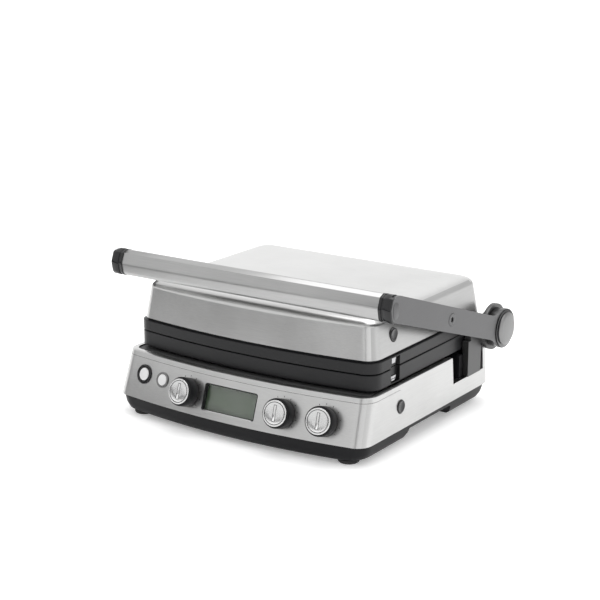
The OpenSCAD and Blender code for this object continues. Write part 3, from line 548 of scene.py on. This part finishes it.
# %% Plates, heaters and catches
SKIRT_PLAN = (176.5, 35, 305.5, 20, 15.3)
for level in ("lower", "upper"):
    low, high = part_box(level + "_carrier")
    skirt_guide = wall_guide(levels(low.z, high.z, 8, lambda part: SKIRT_PLAN))
    dress(level + "_carrier", skirt, 0.5, None, skirt_guide)
    dress(level + "_plate", coated, 0.45)
    dress(level + "_element", heater, 0.0)
    dress(level + "_reflector", foil, 0.0)
    dress(level + "_catch", bolt_metal, 0.12)
dress("base_release_latch", bolt_metal, 0.15)
print("plates dressed")

# %% [markdown]
# The arms are flat forged bars with rounded edges, so their large faces have to stay dead flat. The
# lid is pressed from one sheet, and its guide climbs the wall and turns over the shoulder.

# %% Hinge, arms and lid
for side in ("left", "right"):
    dress("hinge_guide_" + side, black, 0.3)
    hold_planes(dress("hinge_block_" + side, cast, 0.6))
    hold_planes(dress("arm_" + side, arm_metal, 0.6))
    dress("hub_cap_" + side, cap_metal, 0.35)
    dress("collar_" + side, gloss, 0.3)
dress("hinge_plates", bolt_metal, 0.15)
dress("hinge_tie_bar", bolt_metal, 0.2)
dress("hub_rings", gloss, 0.3)
dress("screw_plugs", arm_metal, 0.25)
lid_low, lid_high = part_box("lid_cover")


def lid_plan(inset):
    """The lid's plan where its wall has come in by this much."""
    return (174 - inset, 38 + inset, 305 - inset, 19 - inset * 0.4, 15.3)


LID_RISE = [(38 * part / 8, 0.3 + 5.4 * part / 8) for part in range(9)]
LID_RISE += [(40.1, 5.85), (41.8, 7.1), (44.6, 9.58), (46.5, 13.45), (47.6, 18.41), (48, 23.52)]
lid_guide = wall_guide([(lid_low.z + z * MM, lid_plan(inset)) for z, inset in LID_RISE])
# The lid's sides take a much darker copy of the steel: painted shade on the sides.
dress("lid_cover", steel, 0.0, lid_side_painted_shade, lid_guide)
dress("lid_frame", bolt_metal, 0.2)
print("hinge, arms and lid dressed")


# %% [markdown]
# ## Dials
# Each dial is a smooth black cup with a rounded shoulder and a bright face inside a raised rim. A
# dark groove parts the rim from the face, and a bright pointer bar lies in a dark seat across it.
# Turning the profiles on the lathe keeps the cup's hollow back and its stem.

# %% Dials
DIALS = {"dial_1": -66.0, "dial_2": 74.0, "dial_3": 130.0}
DIAL_ROW = 24.0
CUP = [(0, -7), (2.5, -7), (2.5, 0.4), (6, 0.4), (6, 12.5), (15.4, 12.5), (15.4, 0.8), (17.4, 0.8),
       (17.8, 0.95), (18, 1.4), (18, 13.6), (17.9, 14.5), (17.6, 15.4), (17.1, 16.1), (16.5, 16.5),
       (16.0, 16.6), (15.85, 16.4), (15.85, 15.9), (0, 15.9)]
FACE = [(0, 15.95), (15.7, 15.95), (15.75, 17.5), (15.6, 18.0), (15.2, 18.35), (14.7, 18.5),
        (14.1, 18.45), (13.8, 18.2), (13.7, 17.5), (13.0, 17.5), (12.9, 18.1), (12.5, 18.3),
        (6, 18.35), (0, 18.35)]
GROOVE = [(13.0, 17.4), (13.75, 17.4), (13.75, 17.8), (13.0, 17.8), (13.0, 17.4)]


def block(name, size, centre, paint, place, edge=0.12):
    work = bmesh.new()
    bmesh.ops.create_cube(work, size=1)
    for vert in work.verts:
        vert.co = Vector([(vert.co[i] * size[i] + centre[i]) * MM for i in range(3)])
    work.transform(place)
    mesh = bpy.data.meshes.new(name)
    work.to_mesh(mesh)
    work.free()
    return soften(from_mesh(name, mesh, paint), edge)


for dial, across in DIALS.items():
    spot = panel_place(across, DIAL_ROW)
    keep(lathe(dial + "_cup", CUP, black, spot), dial)
    keep(lathe(dial + "_bright_face", FACE, chrome, spot), dial + "_face")
    keep(lathe(dial + "_groove", GROOVE, inner, spot), body=dial)
    seat = block(dial + "_pointer_seat", (4.0, 20.2, 0.3), (0, 0, 18.25), inner, spot, 0.1)
    keep(seat, body=dial)
    bar = block(dial + "_pointer", (2.7, 19.0, 0.4), (0, 0, 18.3), chrome, spot, 0.15)
    keep(bar, body=dial)
print(len(DIALS), "dials")


# %% [markdown]
# ## Seam of the panel and lip of the display
# The panel is a sheet of its own: a fine seam runs just under the rim, turns both corners and dips
# behind the release button. Under the display the cut edge of the steel catches the light. A line
# in the material would fade at a grazing view, so both are thin strips of mesh.

# %% The path of the seam
SEAM_HIGH, SEAM_REAR, DIP_FROM, DIP = 49.0, 92, 80, 0.02
ring = outline(*house_plan(SEAM_HIGH / HOUSE_HIGH))
front_right = [p for p in ring if p[0] > 0 and p[1] < SEAM_REAR]
front_left = [(-x, y) for x, y in front_right]
trail = [(x, y, SEAM_HIGH - max(0, y - DIP_FROM) ** 2 * DIP)
         for x, y in list(reversed(front_left)) + front_right]
trail.sort(key=lambda p: math.atan2(p[0], 150 - p[1]))
print("seam of", len(trail), "stations")

# %% Seam and lip
corners, faces = [], []
for k, (x, y, high) in enumerate(trail):
    before, after = trail[max(k - 1, 0)], trail[min(k + 1, len(trail) - 1)]
    out = Vector((after[1] - before[1], before[0] - after[0], 0)).normalized()
    lean = Vector((0, 0, 0.3 if abs(x) < 160 else 0.05))
    for push, lift in ((0.03, -0.22), (0.03, 0.22), (-0.4, 0.22), (-0.4, -0.22)):
        point = Vector((x, y, high + lift)) + (out + lean) * push
        corners.append(Vector((point.x * MM, front_line + point.y * MM, seam + point.z * MM)))
    if k:
        a, b = 4 * (k - 1), 4 * k
        faces += [(a + i, a + (i + 1) % 4, b + (i + 1) % 4, b + i) for i in range(4)]
faces += [(3, 2, 1, 0), tuple(4 * (len(trail) - 1) + i for i in range(4))]
keep(from_points("panel_seam", corners, faces, inner), body="base")

spot = panel_place(-2.0, DIAL_ROW + 0.5)
edge = [(-16.9, 0.06), (-15.7, -1.1), (-16.9, -1.1)]
corners = [spot @ (Vector((x, y, z)) * MM) for x in (-37.0, 37.0) for y, z in edge]
keep(from_points("display_lip", corners, [(0, 1, 2), (5, 4, 3), (0, 3, 4, 1), (1, 4, 5, 2),
                                          (2, 5, 3, 0)], chrome, False), body="base")
print("seam and lip placed")


# %% [markdown]
# ## Marks round the dials
# A short geometry node tree lays small raised ticks on an arc. The same tree serves all three dials;
# its inputs are the number of ticks, the arc and the size of a tick.

# %% A tree that lays ticks on an arc
def new_tree(name, sockets):
    tree = bpy.data.node_groups.new(name, "GeometryNodeTree")
    face = tree.interface
    face.new_socket("Geometry", in_out="INPUT", socket_type="NodeSocketGeometry")
    face.new_socket("Geometry", in_out="OUTPUT", socket_type="NodeSocketGeometry")
    for label, kind, value in sockets:
        made = face.new_socket(label, in_out="INPUT", socket_type=kind)
        if value is not None:
            made.default_value = value
    return tree, tree.nodes.new("NodeGroupInput"), tree.nodes.new("NodeGroupOutput")


def maths(tree, what, a, b):
    node = tree.nodes.new("ShaderNodeMath")
    node.operation = what
    for socket, value in zip(node.inputs, (a, b)):
        if isinstance(value, (int, float)):
            socket.default_value = value
        elif value is not None:
            tree.links.new(value, socket)
    return node.outputs[0]


def vector(tree, x=0.0, y=0.0, z=0.0):
    node = tree.nodes.new("ShaderNodeCombineXYZ")
    for socket, value in zip(node.inputs, (x, y, z)):
        if isinstance(value, (int, float)):
            socket.default_value = value
        else:
            tree.links.new(value, socket)
    return node.outputs[0]


def close_tree(tree, shape, given, result):
    real = tree.nodes.new("GeometryNodeRealizeInstances")
    paint = tree.nodes.new("GeometryNodeSetMaterial")
    tree.links.new(shape, real.inputs[0])
    tree.links.new(real.outputs[0], paint.inputs["Geometry"])
    tree.links.new(given.outputs["Finish"], paint.inputs["Material"])
    tree.links.new(paint.outputs[0], result.inputs[0])


FLOAT, WHOLE, PAINT = "NodeSocketFloat", "NodeSocketInt", "NodeSocketMaterial"
arc_tree, given, result = new_tree("ticks_on_an_arc", [
    ("Count", WHOLE, 9), ("Radius", FLOAT, 0.0205), ("Start", FLOAT, -2.2), ("Sweep", FLOAT, 4.4),
    ("Length", FLOAT, 0.0016), ("Width", FLOAT, 0.0005), ("Height", FLOAT, 0.0002),
    ("Finish", PAINT, None)])
index = arc_tree.nodes.new("GeometryNodeInputIndex").outputs[0]
share = maths(arc_tree, "DIVIDE", index, maths(arc_tree, "SUBTRACT", given.outputs["Count"], 1))
turn = maths(arc_tree, "MULTIPLY_ADD", share, given.outputs["Sweep"])
arc_tree.links.new(given.outputs["Start"], turn.node.inputs[2])
spots = arc_tree.nodes.new("GeometryNodePoints")
arc_tree.links.new(given.outputs["Count"], spots.inputs["Count"])
arc_tree.links.new(vector(arc_tree,
                          maths(arc_tree, "MULTIPLY", maths(arc_tree, "SINE", turn, None),
                                given.outputs["Radius"]),
                          maths(arc_tree, "MULTIPLY", maths(arc_tree, "COSINE", turn, None),
                                given.outputs["Radius"]), 0.0), spots.inputs["Position"])
tick = arc_tree.nodes.new("GeometryNodeMeshCube")
arc_tree.links.new(vector(arc_tree, given.outputs["Width"], given.outputs["Length"],
                          given.outputs["Height"]), tick.inputs["Size"])
lay = arc_tree.nodes.new("GeometryNodeInstanceOnPoints")
arc_tree.links.new(spots.outputs[0], lay.inputs["Points"])
arc_tree.links.new(tick.outputs[0], lay.inputs["Instance"])
arc_tree.links.new(vector(arc_tree, 0.0, 0.0, maths(arc_tree, "MULTIPLY", turn, -1.0)),
                   lay.inputs["Rotation"])
close_tree(arc_tree, lay.outputs[0], given, result)
print(len(arc_tree.nodes), "nodes in", arc_tree.name)


# %% Grow and place
def grow(name, tree, place, seed_mesh=None, **values):
    """A plain mesh grown by the tree with these inputs, moved to its place."""
    mesh = seed_mesh or bpy.data.meshes.new(name)
    obj = bpy.data.objects.new(name, mesh)
    scene.collection.objects.link(obj)
    grower = obj.modifiers.new("grow", "NODES")
    grower.node_group = tree
    for item in tree.interface.items_tree:
        if item.item_type == "SOCKET" and item.in_out == "INPUT" and item.name in values:
            grower[item.identifier] = values[item.name]
    settle(obj)
    obj.data.transform(place)
    return obj


for dial, across in DIALS.items():
    marks = grow(dial + "_marks", arc_tree, panel_place(across, DIAL_ROW), Count=11,
                 Radius=20.6 * MM, Start=-2.25, Sweep=4.5, Length=1.5 * MM, Width=0.5 * MM,
                 Height=0.3 * MM, Finish=gloss)
    keep(marks, body="base")
print("marks round the dials")


# %% [markdown]
# ## Handle bar
# The bar is one section drawn out along its length: a full, rounded front that turns over a crease
# into a flatter top. A bevelled block would have the same edge all round, which the real bar hasn't.
# The section is a closed curve worked out from circles, and the tree draws it out.

# %% Section of the bar
bar_low, bar_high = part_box("handle_bar")
bar_mid = (bar_low + bar_high) / 2
half_deep = (bar_high.y - bar_low.y) / 2 / MM
half_high = (bar_high.z - bar_low.z) / 2 / MM


def outer_points(circles, steps=160):
    """The outline round a set of circles (y, z, radius), by its furthest point in each direction."""
    found = []
    for i in range(steps):
        turn = math.tau * i / steps
        way = Vector((math.cos(turn), math.sin(turn)))
        best = max(circles, key=lambda c: c[0] * way.x + c[1] * way.y + c[2])
        found.append((best[0] + best[2] * way.x, best[1] + best[2] * way.y))
    return found


section = outer_points([
    (-half_deep + 5.4, half_high - 3.9, 1.2), (-half_deep + 10, 0, 10),
    (-half_deep + 9.8, -half_high + 8.2, 8.2), (1, half_high - 6, 6),
    (half_deep - 8, half_high - 9, 8), (half_deep - 8, -half_high + 9, 8)])

print("section of", len(section), "points")

# %% Draw the section out
sweep_tree, given, result = new_tree("drawn_section", [("Length", FLOAT, 0.3),
                                                       ("Finish", PAINT, None)])
draw = sweep_tree.nodes.new("GeometryNodeExtrudeMesh")
draw.inputs["Individual"].default_value = False
draw.inputs["Offset Scale"].default_value = 1.0
sweep_tree.links.new(given.outputs[0], draw.inputs["Mesh"])
sweep_tree.links.new(vector(sweep_tree, given.outputs["Length"], 0.0, 0.0), draw.inputs["Offset"])
back = sweep_tree.nodes.new("GeometryNodeFlipFaces")
sweep_tree.links.new(given.outputs[0], back.inputs[0])
both = sweep_tree.nodes.new("GeometryNodeJoinGeometry")
sweep_tree.links.new(draw.outputs["Mesh"], both.inputs[0])
sweep_tree.links.new(back.outputs[0], both.inputs[0])
weld = sweep_tree.nodes.new("GeometryNodeMergeByDistance")
weld.inputs["Distance"].default_value = 0.00001
sweep_tree.links.new(both.outputs[0], weld.inputs[0])
close_tree(sweep_tree, weld.outputs[0], given, result)

bar_end = bpy.data.meshes.new("bar_section")
bar_end.from_pydata([(0, y * MM, z * MM) for y, z in section], [], [tuple(range(len(section)))])
bar = grow("handle_bar_drawn", sweep_tree, Matrix.Translation((bar_low.x, bar_mid.y, bar_mid.z)),
           bar_end, Length=bar_high.x - bar_low.x, Finish=bar_metal)
keep(soften(bar, 0.12, 40), "handle_bar")
print("bar drawn to", round(bar_high.x - bar_low.x, 4), "m")


# %% [markdown]
# ## Pivot screws and release buttons
# The lid hangs on two screws with a hexagon socket. The release buttons are short round studs with
# a shallow dish in the face.

# %% Pivot screws
screw_low, screw_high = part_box("pivot_screws")
pivot_mid = (screw_low + screw_high) / 2
HEAD = [(0, -24), (3, -24), (3, -6.5), (5, -6.5), (5, -2.2), (7.9, -2.2), (7.9, -0.5), (7.5, -0.1),
        (7.2, 0), (3.7, 0), (3.4, -0.3), (3.4, -1.7), (0, -1.9)]
SOCKET_FROM = 10


def hexagon(k, turn):
    """Rounds of the socket follow a hexagon; every other round is a circle."""
    if k < SOCKET_FROM:
        return 1.0
    part = (turn % (math.pi / 3)) - math.pi / 6
    return math.cos(math.pi / 6) / math.cos(part)


for side in (-1, 1):
    spot = side_place(side, screw_high.x, pivot_mid.y, pivot_mid.z)
    head = lathe("pivot_screw_" + ("left" if side < 0 else "right"), HEAD, arm_metal, spot,
                 shape=hexagon)
    keep(head, "pivot_screws")
print("pivot screws turned")

# %% Release buttons
for button, body in (("base_release_button", "base_release"),
                     ("lid_release_button", "lid_release")):
    low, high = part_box(button)
    middle = (low + high) / 2
    radius = (high.z - low.z) / 2 / MM
    deep = (high.x - low.x) / MM
    stud = [(0, -deep), (3.5, -deep), (3.5, -11.5), (radius, -11.5), (radius, -1.2),
            (radius - 0.3, -0.5), (radius - 0.9, -0.1), (radius - 1.5, 0), (radius - 2.2, -0.15),
            (radius - 3.5, -0.7), (0, -1.0)]
    keep(lathe(button + "_stud", stud, gloss, side_place(1, high.x, middle.y, middle.z)), button)
print("release buttons turned")


# %% [markdown]
# ## Light
# The object stands in a white sweep. A big soft panel overhead and one behind make the tops almost
# white, and one on the right keeps the steel side bright. Metal shows what stands round it, so a low
# dark card on the left lets the fronts stay grey, and an upright one draws the dark band that runs
# down the front corner.

# %% Floor, lights and world
def area_light(name, place, target, size, power):
    lamp = bpy.data.lights.new(name, "AREA")
    lamp.shape = "RECTANGLE"
    lamp.size, lamp.size_y = size
    lamp.energy = power
    holder = bpy.data.objects.new(name, lamp)
    holder.location = place
    direction = Vector(target) - Vector(place)
    holder.rotation_euler = direction.to_track_quat("-Z", "Y").to_euler()
    scene.collection.objects.link(holder)
    return holder


def card(name, place, target, size, paint):
    """A flat upright card that the metal mirrors."""
    wide, high = size[0] / 2, size[1] / 2
    turn = (Vector(target) - Vector(place)).to_track_quat("-Z", "Y").to_matrix().to_4x4()
    spot = Matrix.Translation(place) @ turn
    mesh = bpy.data.meshes.new(name)
    mesh.from_pydata([tuple(spot @ Vector(p)) for p in
                      ((-wide, -high, 0), (wide, -high, 0), (wide, high, 0), (-wide, high, 0))],
                     [], [(0, 1, 2, 3)])
    obj = from_mesh(name, mesh, paint)
    obj.visible_camera = False
    return obj


floor_paint = finish_of("floor_paint", (0.95, 0.95, 0.95), 0.6, 0, 300, (1, 1, 1), 0.05, 0.01,
                        0.01, glow=0.3)
floor_mesh = bpy.data.meshes.new("floor")
floor_mesh.from_pydata([(-9, -9, 0), (9, -9, 0), (9, 9, 0), (-9, 9, 0)], [], [(0, 1, 2, 3)])
from_mesh("floor", floor_mesh, floor_paint)
grey_card = finish_of("card_grey", (0.05, 0.05, 0.05), 0.9)
card("card_front", (0.80, -2.16, 0.55), (0, 0, 0.55), (0.5, 1.1), grey_card)
card("card_front_left", (-0.56, -0.80, 0.09), (0, 0, 0.09), (1.7, 0.165), grey_card)

world = bpy.data.worlds.new("studio")
scene.world = world
world.use_nodes = True
world.node_tree.nodes["Background"].inputs[0].default_value = (1, 1, 1, 1)
world.node_tree.nodes["Background"].inputs[1].default_value = 1.0
area_light("top_panel", (0.1, 0.3, 1.9), (0, 0, 0.1), (1.8, 1.6), 16)
area_light("right_panel", (2.1, 0.4, 0.8), (0, 0, 0.1), (1.2, 1.4), 3)
area_light("back_panel", (-1.6, 2.4, 0.95), (0, 0, 0.1), (3.6, 1.7), 5.5)
scene.view_settings.view_transform = "Standard"
print("floor, two cards, three panels and a white world")
